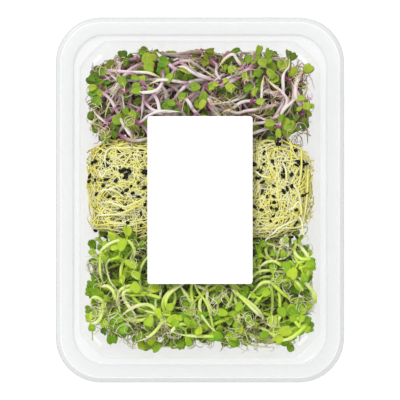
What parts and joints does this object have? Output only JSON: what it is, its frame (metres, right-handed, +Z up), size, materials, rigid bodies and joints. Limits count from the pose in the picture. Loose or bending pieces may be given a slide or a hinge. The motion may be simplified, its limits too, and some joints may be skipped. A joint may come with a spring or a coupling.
{
  "type": "tray of mixed sprouts",
  "caption": "Clear sealed tray of fresh red radish, leek and green radish sprouts in beds side by side, with a film lid and a bare white label.",
  "frame": {"origin": "middle of the flat underside of the tray, on the surface that it stands on", "axes": "+Z up to the film; +Y along the tray's length, towards the red radish bed; +X across, to the right in the picture"},
  "size_m": [0.143, 0.181, 0.0366],
  "materials": {
    "clear_tray": "clear thermoformed sheet, glossy",
    "clear_film": "clear taut sealing film, glossy",
    "label": "white, smooth, slightly glossy, unprinted",
    "red_radish": "fresh moist plant tissue: magenta stems, white roots, green seed leaves",
    "leek": "fresh moist plant tissue: pale yellow threads with black seed coats",
    "green_radish": "fresh moist plant tissue: pale green stems, white roots, green seed leaves"
  },
  "bodies": {
    "root": {"tray": "clear_tray", "film": "clear_film", "label": "label", "red_radish_bed": "red_radish", "red_radish_sprout_01": "red_radish", "red_radish_sprout_02": "red_radish", "red_radish_sprout_03": "red_radish", "red_radish_sprout_04": "red_radish", "red_radish_sprout_05": "red_radish", "red_radish_sprout_06": "red_radish", "red_radish_sprout_07": "red_radish", "red_radish_sprout_08": "red_radish", "red_radish_sprout_09": "red_radish", "red_radish_sprout_10": "red_radish", "red_radish_sprout_11": "red_radish", "red_radish_sprout_12": "red_radish", "red_radish_sprout_13": "red_radish", "red_radish_sprout_14": "red_radish", "leek_bed": "leek", "leek_sprout_01": "leek", "leek_sprout_02": "leek", "leek_sprout_03": "leek", "leek_sprout_04": "leek", "leek_sprout_05": "leek", "leek_sprout_06": "leek", "leek_sprout_07": "leek", "leek_sprout_08": "leek", "leek_sprout_09": "leek", "leek_sprout_10": "leek", "leek_sprout_11": "leek", "leek_sprout_12": "leek", "leek_sprout_13": "leek", "leek_sprout_14": "leek", "green_radish_bed": "green_radish", "green_radish_sprout_01": "green_radish", "green_radish_sprout_02": "green_radish", "green_radish_sprout_03": "green_radish", "green_radish_sprout_04": "green_radish", "green_radish_sprout_05": "green_radish", "green_radish_sprout_06": "green_radish", "green_radish_sprout_07": "green_radish", "green_radish_sprout_08": "green_radish", "green_radish_sprout_09": "green_radish", "green_radish_sprout_10": "green_radish", "green_radish_sprout_11": "green_radish", "green_radish_sprout_12": "green_radish", "green_radish_sprout_13": "green_radish", "green_radish_sprout_14": "green_radish"}
  },
  "joints": []
}
